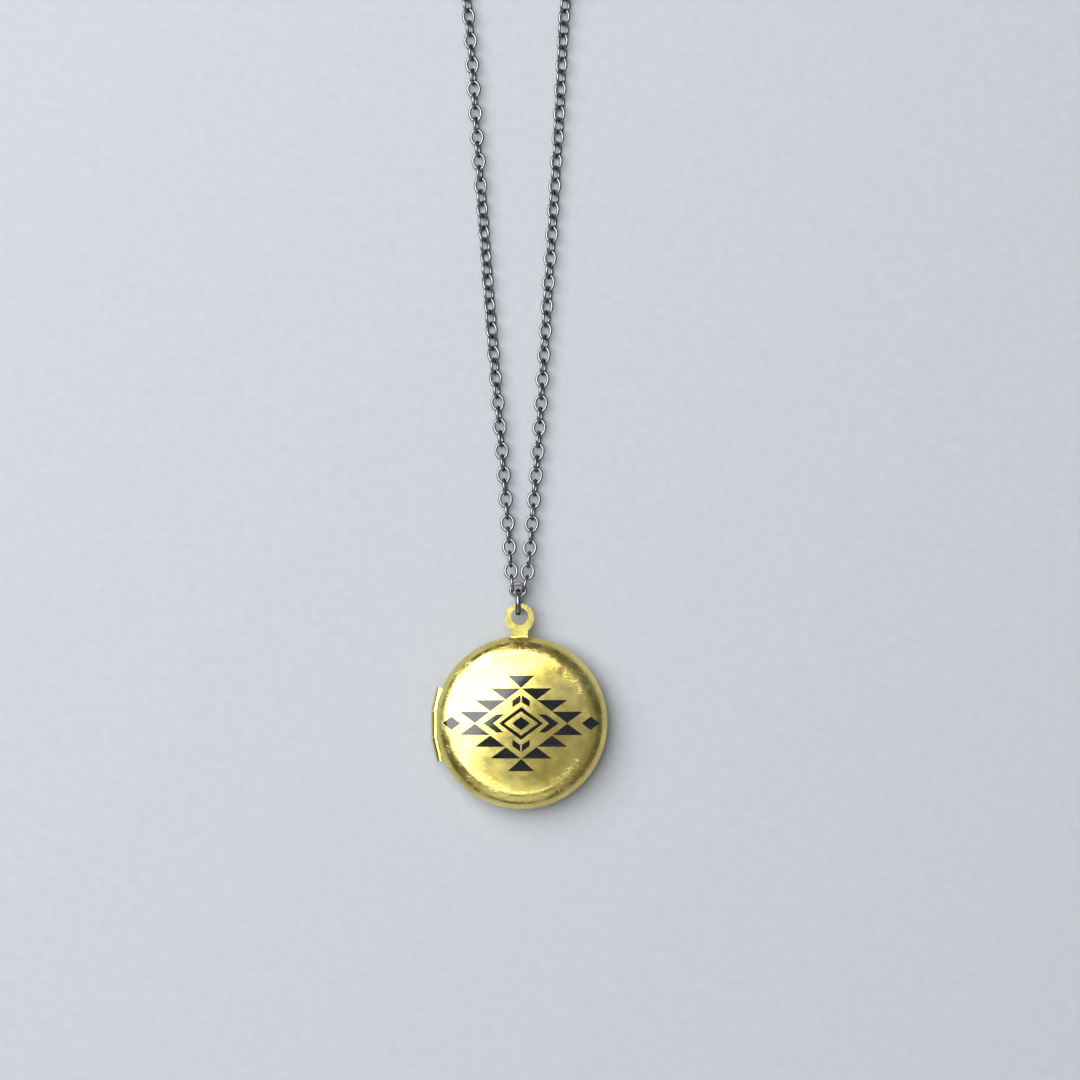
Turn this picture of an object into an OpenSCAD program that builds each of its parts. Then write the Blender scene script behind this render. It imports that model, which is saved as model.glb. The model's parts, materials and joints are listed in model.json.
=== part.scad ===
// Round hinged locket on a fine link chain, lying on its back.
// The origin is the centre of the back's flat. +Z comes out of the front cover, +Y runs up to
// the bail and the chain, and the hinge is on the -X side. All sizes are in millimetres.

/* [Case] */
// Outer diameter of the closed case
case_d = 20; // [18:0.5:24]
// Height of each cover's rounded shoulder, and so of the seam between the covers
shoulder_h = 2.2; // [2.1:0.1:2.8]
// Width of the rounded shoulder, seen from the front
shoulder_w = 2.4; // [2.2:0.1:2.8]
// Angle round the shoulder's arc at which the front's shallow dome takes over
dome_angle = 6; // [3:1:10]
// Thickness of the pressed sheet
sheet_t = 0.35; // [0.3:0.05:0.4]
// Gap between the closed covers at the seam
seam_gap = 0.06; // [0.04:0.01:0.1]

/* [Catch and picture frames] */
// Wall of the covers at the rim, where the sheet is thickened
rim_t = 0.44; // [0.4:0.02:0.5]
// Height of the catch lip above the seam
lip_h = 0.6; // [0.4:0.05:0.65]
// Radial thickness of the catch ring
lip_t = 0.44; // [0.36:0.02:0.5]
// Gap between the lip and the front cover's rim
lip_gap = 0.07; // [0.05:0.01:0.1]
// Radial width of each picture frame
frame_w = 1.7; // [1.2:0.1:2.2]

/* [Hinge] */
// Length of the whole hinge
hinge_len = 8.35; // [7.6:0.05:8.8]
// Outer radius of the hinge knuckles
knuckle_r = 0.6; // [0.55:0.01:0.62]
// Length of the middle knuckle
knuckle_mid = 2.9; // [2.6:0.1:3.2]
// Tilt of the outer knuckles, so that they follow the case
knuckle_tilt = 13; // [10:1:14]
// Radius of the hinge pin
pin_r = 0.2; // [0.16:0.01:0.21]
// Place of the hinge's middle along Y
hinge_y = -0.2; // [-0.5:0.1:0.5]

/* [Bail and jump ring] */
// Outer radius of the bail's round end
bail_r = 1.7; // [1.6:0.05:1.9]
// Radius of the bail's hole
bail_hole_r = 1; // [0.95:0.05:1.1]
// Width of the bail's neck
bail_neck = 1.95; // [1.7:0.05:2.1]
// Thickness of the bail
bail_t = 0.6; // [0.5:0.05:0.65]
// Place of the bail along X
bail_x = -0.2; // [-0.4:0.05:0.4]
// Mean radius of the jump ring
ring_r = 1.25; // [1.22:0.01:1.3]
// Thickness of the jump ring's wire
ring_wire = 0.6; // [0.5:0.02:0.62]

/* [Enamel motif] */
// Thickness of the enamel
enamel_t = 0.03; // [0.02:0.01:0.05]
// Half width of one step of the stepped diamond
step_x = 1.773; // [1.6:0.01:1.8]
// Half height of one step of the stepped diamond
step_y = 1.347; // [1.2:0.01:1.4]

/* [Chain] */
// Thickness of the chain
chain_d = 1.7; // [1.5:0.1:1.8]
// Thickness of the wire of a chain link
link_wire = 0.34; // [0.26:0.02:0.36]
// Length of a chain link
link_len = 2.08; // [1.9:0.02:2.3]
// Outer radius of the coil that the rest of the chain lies in
coil_r = 12.75; // [12:0.25:14]
// Radius of the hole in the coil
coil_hole_r = 7.05; // [6.9:0.05:7.4]

/* [Clasp] */
// Outer radius of the clasp's hook
hook_r = 1.7; // [1.6:0.05:1.8]
// Thickness of the clasp's body
clasp_t = 1.8; // [1.7:0.05:2]
// Radius of the rivet that the lever turns on
rivet_r = 0.2; // [0.16:0.01:0.22]

/* [Hidden] */
$fn = 96;

brass = [0.76, 0.67, 0.3];
gunmetal = [0.22, 0.22, 0.24];
enamel_black = [0.03, 0.03, 0.03];
card_white = [0.93, 0.91, 0.86];
film_clear = [0.85, 0.9, 0.95, 0.4];

// Heights in the case. The covers' profiles are worked out as heights from the seam.
case_r = case_d / 2;
seam_z = shoulder_h;
shoulder_x = case_r - shoulder_w;
rim_in_r = case_r - rim_t;
rim_angle = acos(seam_gap / 2 / shoulder_h);
arc_steps = 16;
dome_steps = 6;

// Points round the shoulder's elliptical arc, from one angle to another
function shoulder_arc(w, h, from, to) = [
    for (i = [0 : arc_steps])
        let (a = from + (to - from) * i / arc_steps)
        [shoulder_x + w * sin(a), h * cos(a)]
];
// Radius of the dome that leaves the arc without a crease, and the dome's points
function dome_radius(x, w, h) = x / sin(atan(h / w * tan(dome_angle)));
function dome_arc(x, z, r) = [
    for (i = [0 : dome_steps - 1])
        let (s = x * i / dome_steps)
        [s, z + sqrt(r * r - s * s) - sqrt(r * r - x * x)]
];
// A domed and a flat cover's surface, from the centre to the rim
function domed_face(w, h) =
    let (x = shoulder_x + w * sin(dome_angle))
    concat(
        dome_arc(x, h * cos(dome_angle), dome_radius(x, w, h)),
        shoulder_arc(w, h, dome_angle, rim_angle)
    );
function flat_face(w, h) = concat([[0, h]], shoulder_arc(w, h, 0, rim_angle));
function reversed(list) = [for (i = [len(list) - 1 : -1 : 0]) list[i]];
// The inside of a cover, ending in the straight wall of the rim
function inside(points) = concat(
    [for (p = points) if (p.y > seam_gap) [min(p.x, rim_in_r), p.y]],
    [[rim_in_r, seam_gap / 2]]
);
// Inner radius of a cover at a height from the seam
function wall_r(h) = min(
    rim_in_r,
    shoulder_x + (shoulder_w - sheet_t) * sqrt(1 - pow(h / (shoulder_h - sheet_t), 2))
);

// Stack of the picture in each cover, as heights from the seam
frame_h = 0.75;
frame_t = 0.25;
film_t = 0.12;
card_t = 0.25;
film_h = frame_h + frame_t;
card_h = film_h + film_t;
stack_gap = 0.05;

// Hinge
hinge_x = 0.22 - case_r;
hinge_cut_x = hinge_x + 0.08;
knuckle_gap = 0.12;
knuckle_clear = 0.08;
pin_clear = 0.025;
pin_len = knuckle_mid + 2 * (knuckle_gap + 0.88);
outer_start = knuckle_mid / 2 + knuckle_gap;
outer_len = (hinge_len / 2 - outer_start) / cos(knuckle_tilt);

// Bail and jump ring
bail_y = case_r + 2.08;
bail_hole_y = case_r + 2.28;
bail_top_z = seam_z - 0.1;
bail_mid_z = bail_top_z - bail_t / 2;
bail_fillet = 0.8;
ring_y = case_r + 3.92;
ring_x = bail_x - 0.15;

// Chain link that carries the jump ring
link_wide = chain_d - link_wire;
link_straight = link_len - chain_d;
link_gap = 0.05;
link_y = ring_y + ring_r - ring_wire / 2 - link_gap - link_wire / 2 + link_wide / 2;

// Routes of the two strands, from the centre link's ends to the coil, and the coil's centre
chain_z = 0.85;
strand_x = 0.8;
strand_y = link_y + 0.45;
left_route = [
    [ring_x - strand_x, strand_y, bail_mid_z], [-1.2, strand_y + 1.6, 1.7], [-1.6, 24, 1.2],
    [-2.3, 32, chain_z], [-3.7, 49, chain_z], [-5.1, 67.5, chain_z], [-6.3, 83.5, chain_z],
    [-8, 88, chain_z], [-10, 91.5, chain_z]
];
right_route = [
    [ring_x + strand_x, strand_y, bail_mid_z], [0.6, strand_y + 1.6, 1.7], [1.2, 24, 1.2],
    [1.9, 32, chain_z], [3, 49, chain_z], [4.2, 67.5, chain_z], [5.1, 83.5, 1],
    [6.6, 88, 1.7], [8.6, 91.5, 2.4]
];
coil_centre = [-0.7, 99.5];
coil_h = 2 * chain_d;
tube_sides = 8;
tube_steps = 3;

// Clasp, in its own place: the hook's centre is its origin and the tip points along +Y
clasp_at = coil_centre + [2, -0.5];
clasp_turn = -90;
clasp_z = clasp_t / 2;
hook_bar = 0.6;
hook_in_r = hook_r - hook_bar;
hook_t = 0.7;
shank_w = 1.7;
shank_end = -3.9;
pivot = [0.35, -2.3];
gate_reach = 3.1;
gate_gap = 0.07;
slot_x = -0.35;
slot_h = 0.84;
slot_low = 0.75;
slot_len = 3;
hub_r = 0.5;
lever_trim = 0.05;
lever_x = 0.6;
lever_z = -0.08;
lever_t = 0.44;
tail_y = -4.6;
tail_r = 0.9;
tail_hole_r = 0.45;
tail_t = 0.6;
tail_ring_r = 0.65;
end_ring_r = 0.9;
end_ring_turn = 135;
small_wire = 0.4;
spring_r = 0.33;
spring_wire = 0.13;
spring_pitch = 0.11;

// ---- Shared forms ----

// Each outline raised to the same height and joined
module slabs(t) {
    for (i = [0 : $children - 1])
        linear_extrude(t) children(i);
}

// A ring of round wire lying in the XY plane
module wire_ring(r, wire) {
    rotate_extrude() translate([r, 0]) circle(wire / 2, $fn = 32);
}

module middle_knuckle_form(grow, longer) {
    len = knuckle_mid + 2 * longer;
    translate([hinge_x, hinge_y - len / 2, seam_z])
        rotate([-90, 0, 0])
            cylinder(r = knuckle_r + grow, h = len);
}

// One outer knuckle, which leans in to follow the case. side is 1 above and -1 below.
module outer_knuckle_form(side, grow) {
    lead = 0.6;
    translate([hinge_x, hinge_y, seam_z])
        mirror([0, side < 0 ? 1 : 0, 0])
            difference() {
                translate([0, outer_start, 0])
                    rotate([0, 0, -knuckle_tilt])
                        translate([0, -lead, 0])
                            rotate([-90, 0, 0])
                                cylinder(r = knuckle_r + grow, h = outer_len + lead + grow);
                translate([-2, outer_start - 2 - grow, -2]) cube([4, 2, 4]);
            }
}

// Everything outside the flat that is filed on each cover for the hinge
module hinge_flat() {
    translate([hinge_cut_x - 2, -case_r, 0]) cube([2, case_d, 3 * shoulder_h]);
}

module hinge_bore(r) {
    translate([hinge_x, hinge_y - pin_len / 2, seam_z])
        rotate([-90, 0, 0])
            cylinder(r = r, h = pin_len, $fn = 32);
}

// Solid ring whose outer edge lies on the cover's inner wall, between two heights
module seated_ring(in_r, low, high) {
    rotate_extrude()
        polygon([[in_r, low], [wall_r(low), low], [wall_r(high), high], [in_r, high]]);
}

module in_front() {
    translate([0, 0, seam_z]) children();
}

module in_back() {
    translate([0, 0, seam_z]) mirror([0, 0, 1]) children();
}

// ---- Front cover ----

module front_shell() {
    color(brass)
        difference() {
            in_front()
                rotate_extrude()
                    polygon(concat(
                        domed_face(shoulder_w, shoulder_h),
                        reversed(inside(domed_face(shoulder_w - sheet_t, shoulder_h - sheet_t)))
                    ));
            hinge_flat();
            middle_knuckle_form(knuckle_clear, knuckle_gap / 2);
            outer_knuckle_form(1, 0);
            outer_knuckle_form(-1, 0);
            hinge_bore(pin_r + pin_clear);
        }
}

// The motif drawn flat: a stepped diamond with chevrons round a small centre diamond
small_diamond = [1.04, 0.78];
frame_diamond = [2.55, 1.9];
frame_hole = [1.95, 1.38];
chevron = [[1.96, 1.05], [2.83, 1.05], [4.34, 0], [2.83, -1.05], [1.96, -1.05], [3.22, 0]];
leaf = [[0.08, 2.45], [0.08, 3.27], [1, 2.62], [1, 1.86]];
motif_gap = 0.03;
end_half = 1.53;
end_top = 5.5;
side_diamond_x = 8;

module diamond(size) {
    polygon([[size.x, 0], [0, size.y], [-size.x, 0], [0, -size.y]]);
}

module mirrored_four() {
    for (mx = [0, 1], my = [0, 1])
        mirror([mx, 0]) mirror([0, my]) children();
}

module motif() {
    // Centre diamond and the frame round it
    diamond(small_diamond);
    difference() {
        diamond(frame_diamond);
        diamond(frame_hole);
    }
    // Chevrons at the sides, pairs of leaves above and below
    for (m = [0, 1])
        mirror([m, 0]) polygon(chevron);
    mirrored_four() polygon(leaf);
    // Steps of the large diamond, which itself stays bare
    mirrored_four()
        for (k = [0 : 2])
            polygon([
                [k * step_x + motif_gap, (3 - k) * step_y],
                [(k + 2) * step_x, (3 - k) * step_y],
                [(k + 1) * step_x, (2 - k) * step_y + motif_gap]
            ]);
    // Triangles on the top and bottom points, diamonds beyond the side points
    for (m = [0, 1])
        mirror([0, m]) {
            polygon([[0, 3 * step_y + motif_gap], [end_half, end_top], [-end_half, end_top]]);
            mirror([m, 0]) translate([side_diamond_x, 0]) diamond(small_diamond);
        }
}

module enamel_motif() {
    color(enamel_black)
        intersection() {
            translate([0, 0, seam_z]) scale(case_r / 10) linear_extrude(2 * shoulder_h) motif();
            in_front()
                rotate_extrude()
                    polygon(concat(
                        domed_face(shoulder_w + enamel_t, shoulder_h + enamel_t),
                        reversed(domed_face(shoulder_w, shoulder_h))
                    ));
        }
}

module front_frame_ring() {
    color(brass) in_front() seated_ring(wall_r(film_h) - frame_w, frame_h, film_h);
}

module front_film() {
    color(film_clear)
        in_front() translate([0, 0, film_h]) cylinder(r = wall_r(card_h) - stack_gap, h = film_t);
}

module front_card() {
    color(card_white)
        in_front()
            translate([0, 0, card_h]) cylinder(r = wall_r(card_h + card_t) - stack_gap, h = card_t);
}

module outer_knuckle(side) {
    color(brass)
        difference() {
            outer_knuckle_form(side, 0);
            hinge_bore(pin_r + pin_clear);
        }
}

// ---- Back cover ----

module bail_notch() {
    notch_in = 0.3;
    translate([bail_x - bail_neck / 2, rim_in_r - notch_in, bail_top_z - bail_t])
        cube([bail_neck, rim_t + 2 * notch_in, shoulder_h]);
}

module back_shell() {
    color(brass)
        difference() {
            in_back()
                rotate_extrude()
                    polygon(concat(
                        flat_face(shoulder_w, shoulder_h),
                        reversed(inside(flat_face(shoulder_w - sheet_t, shoulder_h - sheet_t)))
                    ));
            translate([0, 0, -shoulder_h]) hinge_flat();
            bail_notch();
            middle_knuckle_form(0, 0);
            outer_knuckle_form(1, knuckle_clear);
            outer_knuckle_form(-1, knuckle_clear);
            hinge_bore(pin_r + pin_clear);
        }
}

// Ring soldered inside the back's rim. Its lip snaps into the front cover.
module catch_ring() {
    foot = 0.54;
    in_r = rim_in_r - lip_t;
    gap_len = hinge_len + 0.9;
    color(brass)
        difference() {
            translate([0, 0, seam_z])
                rotate_extrude()
                    polygon([
                        [in_r, -foot], [rim_in_r, -foot], [rim_in_r, -seam_gap / 2],
                        [rim_in_r - lip_gap, 0], [rim_in_r - lip_gap, lip_h], [in_r, lip_h]
                    ]);
            translate([-case_r, hinge_y - gap_len / 2, seam_z - seam_gap])
                cube([case_r / 2, gap_len, 2 * lip_h]);
            middle_knuckle_form(0, 0);
            outer_knuckle_form(1, knuckle_clear);
            outer_knuckle_form(-1, knuckle_clear);
        }
}

module back_frame_ring() {
    color(brass) in_back() seated_ring(wall_r(film_h) - frame_w, frame_h, film_h);
}

module back_film() {
    color(film_clear)
        in_back() translate([0, 0, film_h]) cylinder(r = wall_r(card_h) - stack_gap, h = film_t);
}

module back_card() {
    color(card_white)
        in_back()
            translate([0, 0, card_h]) cylinder(r = wall_r(card_h + card_t) - stack_gap, h = card_t);
}

module middle_knuckle() {
    color(brass)
        difference() {
            middle_knuckle_form(0, 0);
            hinge_bore(pin_r);
        }
}

module hinge_pin() {
    color(brass) hinge_bore(pin_r);
}

// Flat tab with a round end. Its neck is filleted into the round and set in the back's rim.
module bail() {
    fillet_x = bail_neck / 2 + bail_fillet;
    fillet_y = bail_y - sqrt(pow(bail_r + bail_fillet, 2) - pow(fillet_x, 2));
    color(brass)
        translate([bail_x, 0, bail_top_z - bail_t])
            difference() {
                slabs(bail_t) {
                    translate([0, bail_y]) circle(bail_r);
                    translate([-bail_neck / 2, rim_in_r]) square([bail_neck, bail_y - rim_in_r]);
                    difference() {
                        polygon([[-fillet_x, fillet_y], [fillet_x, fillet_y], [0, bail_y]]);
                        for (side = [-1, 1])
                            translate([side * fillet_x, fillet_y]) circle(bail_fillet);
                    }
                }
                translate([0, bail_hole_y, -bail_t]) cylinder(r = bail_hole_r, h = 3 * bail_t);
            }
}

module jump_ring() {
    color(gunmetal)
        translate([ring_x, ring_y, bail_mid_z]) rotate([0, 90, 0]) wire_ring(ring_r, ring_wire);
}

// ---- Chain ----

// Oval link of round wire, lying in the XY plane with its length along X
module centre_link() {
    color(gunmetal)
        translate([ring_x, link_y, bail_mid_z]) {
            for (side = [-1, 1]) {
                mirror([side < 0 ? 1 : 0, 0, 0])
                    translate([link_straight / 2, 0, 0])
                        rotate([0, 0, -90])
                            rotate_extrude(angle = 180)
                                translate([link_wide / 2, 0]) circle(link_wire / 2, $fn = 32);
                translate([-link_straight / 2, side * link_wide / 2, 0])
                    rotate([0, 90, 0])
                        cylinder(r = link_wire / 2, h = link_straight, $fn = 32);
            }
        }
}

// A smooth curve through the route's points, and its direction
function between(a, b, c, d, t) = 0.5 * (
    2 * b + (c - a) * t + (2 * a - 5 * b + 4 * c - d) * t * t
    + (3 * b - a - 3 * c + d) * t * t * t
);
function smooth(route) =
    let (last = len(route) - 1)
    concat(
        [
            for (i = [0 : last - 1], s = [0 : tube_steps - 1])
                between(
                    route[max(i - 1, 0)], route[i], route[i + 1], route[min(i + 2, last)],
                    s / tube_steps
                )
        ],
        [route[last]]
    );
function unit(v) = v / norm(v);
// One ring of points round the tube at point i
function tube_ring(path, i, r) =
    let (
        along = unit(path[min(i + 1, len(path) - 1)] - path[max(i - 1, 0)]),
        side = unit(cross(along, [0, 0, 1])),
        up = cross(side, along)
    )
    [
        for (k = [0 : tube_sides - 1])
            let (a = 360 * k / tube_sides)
            path[i] + r * cos(a) * side + r * sin(a) * up
    ];

module tube(route, r) {
    path = smooth(route);
    rings = len(path);
    points = [for (i = [0 : rings - 1]) each tube_ring(path, i, r)];
    walls = [
        for (i = [0 : rings - 2], k = [0 : tube_sides - 1])
            let (next = (k + 1) % tube_sides, a = i * tube_sides, b = a + tube_sides)
            [a + k, b + k, b + next, a + next]
    ];
    start = [for (k = [0 : tube_sides - 1]) k];
    end = [for (k = [tube_sides - 1 : -1 : 0]) (rings - 1) * tube_sides + k];
    polyhedron(points, concat([start, end], walls), convexity = 4);
}

module chain_left() {
    color(gunmetal) tube(left_route, chain_d / 2);
}

module chain_right() {
    color(gunmetal) tube(right_route, chain_d / 2);
}

// Outer shape of the two layers of coiled chain
module chain_coil() {
    color(gunmetal)
        translate(coil_centre)
            rotate_extrude()
                translate([coil_hole_r, 0]) square([coil_r - coil_hole_r, coil_h]);
}

// ---- Clasp ----

module in_clasp() {
    translate([clasp_at.x, clasp_at.y, clasp_z]) rotate([0, 0, clasp_turn]) children();
}

module ring_2d(r, in_r) {
    difference() {
        circle(r);
        circle(in_r);
    }
}

// Hook, shank with a slot for the lever, and the tail's eye
module clasp_body() {
    color(gunmetal)
        in_clasp() {
            translate([0, 0, -hook_t / 2])
                linear_extrude(hook_t)
                    difference() {
                        ring_2d(hook_r, hook_in_r);
                        intersection() {
                            translate(pivot) circle(gate_reach);
                            translate([slot_x, -2 * hook_r]) square(4 * hook_r);
                        }
                    }
            difference() {
                translate([-shank_w / 2, shank_end, -clasp_t / 2])
                    cube([shank_w, -hook_in_r - shank_end, clasp_t]);
                translate([slot_x, pivot.y - slot_low, -slot_h / 2])
                    cube([shank_w, slot_len, slot_h]);
                translate([pivot.x, pivot.y, -clasp_t])
                    cylinder(r = rivet_r, h = 2 * clasp_t, $fn = 32);
            }
            translate([0, 0, -tail_t / 2])
                linear_extrude(tail_t)
                    translate([0, tail_y]) ring_2d(tail_r, tail_hole_r);
        }
}

module clasp_rivet() {
    color(gunmetal)
        in_clasp()
            translate([pivot.x, pivot.y, -clasp_t / 2])
                cylinder(r = rivet_r, h = clasp_t, $fn = 32);
}

// Two turns of wire round the rivet, with a leg against the slot's wall
module clasp_spring() {
    color(gunmetal)
        in_clasp()
            translate([pivot.x, pivot.y, -slot_h / 2 + spring_wire / 2 + 0.02]) {
                for (turn = [0, 1])
                    translate([0, 0, turn * spring_pitch]) wire_ring(spring_r, spring_wire);
                translate([slot_x - pivot.x, 0, 0])
                    rotate([0, 90, 0])
                        cylinder(r = spring_wire / 2, h = pivot.x - slot_x - spring_r, $fn = 32);
            }
}

// Lever that closes the hook, with a nub for the thumb
module clasp_lever() {
    color(gunmetal)
        in_clasp()
            translate([0, 0, lever_z])
                difference() {
                    slabs(lever_t) {
                        intersection() {
                            ring_2d(hook_r - lever_trim, hook_in_r + lever_trim);
                            translate(pivot) circle(gate_reach - gate_gap);
                            translate([lever_x, -hook_r]) square(3 * hook_r);
                        }
                        polygon([
                            pivot + [-0.4, 0.3], [lever_x, -1.15], [1.1, -1.1],
                            [2, -1.35], [2, -1.75], pivot + [0.4, -0.3]
                        ]);
                        translate(pivot) circle(hub_r);
                    }
                    translate([pivot.x, pivot.y, -lever_t])
                        cylinder(r = rivet_r + pin_clear, h = 3 * lever_t, $fn = 32);
                }
}

// Ring between the clasp's tail and the right strand
module clasp_tail_ring() {
    color(gunmetal)
        in_clasp()
            translate([0, tail_y - tail_ring_r, 0])
                rotate([0, 90, 0]) wire_ring(tail_ring_r, small_wire);
}

// Ring on the end of the left strand, closed in the hook
module chain_end_ring() {
    color(gunmetal)
        in_clasp()
            rotate([0, 0, end_ring_turn - 90])
                translate([0, (hook_r + hook_in_r) / 2 + 0.1, end_ring_r + small_wire / 2 - clasp_z])
                    rotate([0, 90, 0]) wire_ring(end_ring_r, small_wire);
}

front_shell();
enamel_motif();
front_frame_ring();
front_film();
front_card();
outer_knuckle(1);  // upper_knuckle
outer_knuckle(-1);  // lower_knuckle
back_shell();
catch_ring();
back_frame_ring();
back_film();
back_card();
middle_knuckle();
hinge_pin();
bail();
jump_ring();
centre_link();
chain_left();
chain_right();
chain_coil();
clasp_body();
clasp_rivet();
clasp_spring();
clasp_tail_ring();
chain_end_ring();
clasp_lever();
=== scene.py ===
"""Round hinged locket on a link chain: its covers, enamel, chain, finishes, light and camera.

Lengths are in metres, in the frame of the carried-over parts. +Z comes out of the front cover,
+Y runs up to the chain and the hinge is on the -X side.
"""

import json
import math
import random

import bmesh
import bpy
from mathutils import Matrix, Vector


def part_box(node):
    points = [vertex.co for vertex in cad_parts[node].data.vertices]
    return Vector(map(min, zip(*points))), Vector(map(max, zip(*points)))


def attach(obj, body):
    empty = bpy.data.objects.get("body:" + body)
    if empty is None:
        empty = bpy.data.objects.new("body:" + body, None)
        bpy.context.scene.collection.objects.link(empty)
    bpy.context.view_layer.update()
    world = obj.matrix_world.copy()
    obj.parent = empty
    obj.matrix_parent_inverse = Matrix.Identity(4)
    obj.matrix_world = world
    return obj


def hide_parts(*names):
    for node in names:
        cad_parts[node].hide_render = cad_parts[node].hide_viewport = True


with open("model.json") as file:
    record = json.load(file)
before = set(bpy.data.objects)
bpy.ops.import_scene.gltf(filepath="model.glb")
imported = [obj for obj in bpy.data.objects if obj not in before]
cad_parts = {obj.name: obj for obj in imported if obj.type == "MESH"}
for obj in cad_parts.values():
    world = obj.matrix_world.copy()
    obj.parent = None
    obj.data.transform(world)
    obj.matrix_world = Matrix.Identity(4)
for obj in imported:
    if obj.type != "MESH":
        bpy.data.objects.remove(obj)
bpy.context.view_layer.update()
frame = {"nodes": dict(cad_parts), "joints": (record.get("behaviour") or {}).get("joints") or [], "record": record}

bl_info = {
    "name": "Locket on a Link Chain",
    "version": (1, 0, 0),
    "blender": (4, 5, 0),
    "location": "3D View > Sidebar > Locket",
    "description": "Builds a round hinged locket, its link chain and their finishes",
    "category": "Object",
}

MM = 0.001
JOINTS = {joint["name"]: joint for joint in frame["joints"]}
HINGE_AXIS = Vector(JOINTS["cover_hinge"]["pos_m"])
SEAM_HEIGHT = HINGE_AXIS.z
WEAR = "worn"
CASE_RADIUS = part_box("front_shell")[1][0]

# The two strands' routes from the centre link's ends to the coil, in millimetres. Where the
# links lie on the table, their lean sets how high their middles are.
LIE = 0.6
LEFT_ROUTE = [
    (-0.98, 15.65, 1.8), (-1.16, 17.5, 1.55), (-1.6, 23.4, 0.85), (-2.3, 32, LIE),
    (-3.7, 49, LIE), (-5.1, 67.5, LIE), (-6.3, 83.5, LIE), (-8, 88, LIE), (-10, 91.5, LIE),
]
RIGHT_ROUTE = [
    (0.3, 15.6, 1.8), (0.74, 17.4, 1.55), (1.24, 23.1, 0.85), (1.95, 32, LIE),
    (3.05, 49, LIE), (4.25, 67.5, LIE), (5.15, 83.5, 0.9), (6.6, 88, 1.6), (8.6, 91.5, 2.1),
]
# How far the links lean over along each strand: millimetres up from the case, and degrees
LEFT_LEAN = (
    (16, 3), (25, 8), (38, 20), (46, 43), (59, 43), (65, 14), (74, 14), (83, 28), (95, 45),
)
RIGHT_LEAN = ((16, 3), (25, 8), (38, 18), (48, 27), (62, 32), (75, 37), (95, 45))
LOOSE_LEAN = 4
COIL_CENTRE = (-0.7, 99.5)
PATH_STEP = 0.5 * MM

# Shapes of the motif, in millimetres. The first three are mirrored to all four quarters.
FRAME_SIDE = [(1.95, 0), (2.55, 0), (0, 1.9), (0, 1.38)]
CHEVRON_HALF = [(1.96, 1.05), (3.22, 0), (4.34, 0), (2.83, 1.05)]
LEAF = [(0.08, 2.45), (1, 1.86), (1, 2.62), (0.08, 3.27)]
SMALL_DIAMOND = [(1.04, 0), (0, 0.78), (-1.04, 0), (0, -0.78)]
SIDE_DIAMOND_X = 8
END_HALF = 1.53
END_TOP = 5.5
MOTIF_GAP = 0.03

# How far the carried-over parts' edges are broken, in millimetres
EDGE_WIDTHS = {
    "bail": 0.09, "upper_knuckle": 0.05, "lower_knuckle": 0.05, "middle_knuckle": 0.05,
    "front_frame_ring": 0.05, "back_frame_ring": 0.05, "catch_ring": 0.04,
    "clasp_body": 0.09, "clasp_lever": 0.06,
}
AIR_GAP = 0.01 * MM

VIEW_CENTRE = (0.00218, 0.0211, 0.003)
VIEW_WIDTH = 0.1246
CAMERA_DISTANCE = 0.6

# Each light's name, heading, tilt, distance, half angles across and along, and radiance. The
# heading and the tilt from straight up are in degrees. The key's lower edge is almost overhead,
# so that the dome shows where it ends.
LIGHTS = (
    ("key", 143, 32.5, 0.7, 27, 29, 5.4),
    ("fill", -37, 26, 1.0, 30, 24, 0.17),
    ("low_fill", -108, 21, 0.9, 14, 6, 2.0),
    ("front_fill", -98, 57, 0.8, 26, 16, 0.6),
)
SKY_COLOUR = (0.9, 0.95, 1.0, 1.0)
SKY_STRENGTH = 0.14


# ---- Sizes and colours ----

def length(label, words, default):
    """A length property."""
    return bpy.props.FloatProperty(
        name=label, description=words, default=default, precision=5,
        subtype="DISTANCE", unit="LENGTH",
    )


def angle(label, words, degrees):
    """An angle property, given in degrees."""
    return bpy.props.FloatProperty(
        name=label, description=words, default=math.radians(degrees),
        subtype="ANGLE", unit="ROTATION",
    )


def colour(label, words, default):
    """A colour property."""
    return bpy.props.FloatVectorProperty(
        name=label, description=words, default=default, size=3, min=0, max=1, subtype="COLOR",
    )


class LocketCaseSizes(bpy.types.PropertyGroup):
    """Sizes of the two covers and the hinge"""

    shoulder_width: length("Shoulder width", "Width of the rounded shoulder", 2.4 * MM)
    dome_angle: angle("Dome angle", "Angle round the shoulder where the dome takes over", 6)
    sheet: length("Sheet", "Thickness of the pressed sheet", 0.35 * MM)
    rim: length("Rim", "Thickness of the covers at the rim", 0.44 * MM)
    seam_gap: length("Seam gap", "Gap between the closed covers", 0.06 * MM)
    rim_round: length("Rim rounding", "Radius worn on the rim's edge", 0.07 * MM)
    knuckle_gap: length("Knuckle gap", "Gap between two hinge knuckles", 0.12 * MM)
    knuckle_clear: length("Knuckle clearance", "Room round a knuckle that moves", 0.08 * MM)
    knuckle_tilt: angle("Knuckle tilt", "Lean of the outer knuckles", 13)
    flat_offset: length("Hinge flat", "Distance from the pin to the flat for it", 0.08 * MM)
    bail_neck: length("Bail neck", "Width of the bail where it enters the rim", 1.95 * MM)
    wear_start: length("Wear start", "Radius at which the shoulder's scratches start", 6.8 * MM)
    wear_full: length("Wear full", "Radius at which the scratches are at their most", 8.7 * MM)


class LocketMotifSizes(bpy.types.PropertyGroup):
    """Sizes of the enamel motif"""

    thickness: length("Thickness", "Thickness of the enamel", 0.03 * MM)
    step_width: length("Step width", "Half width of a step of the large diamond", 1.773 * MM)
    step_height: length("Step height", "Half height of a step of the large diamond", 1.347 * MM)


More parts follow.
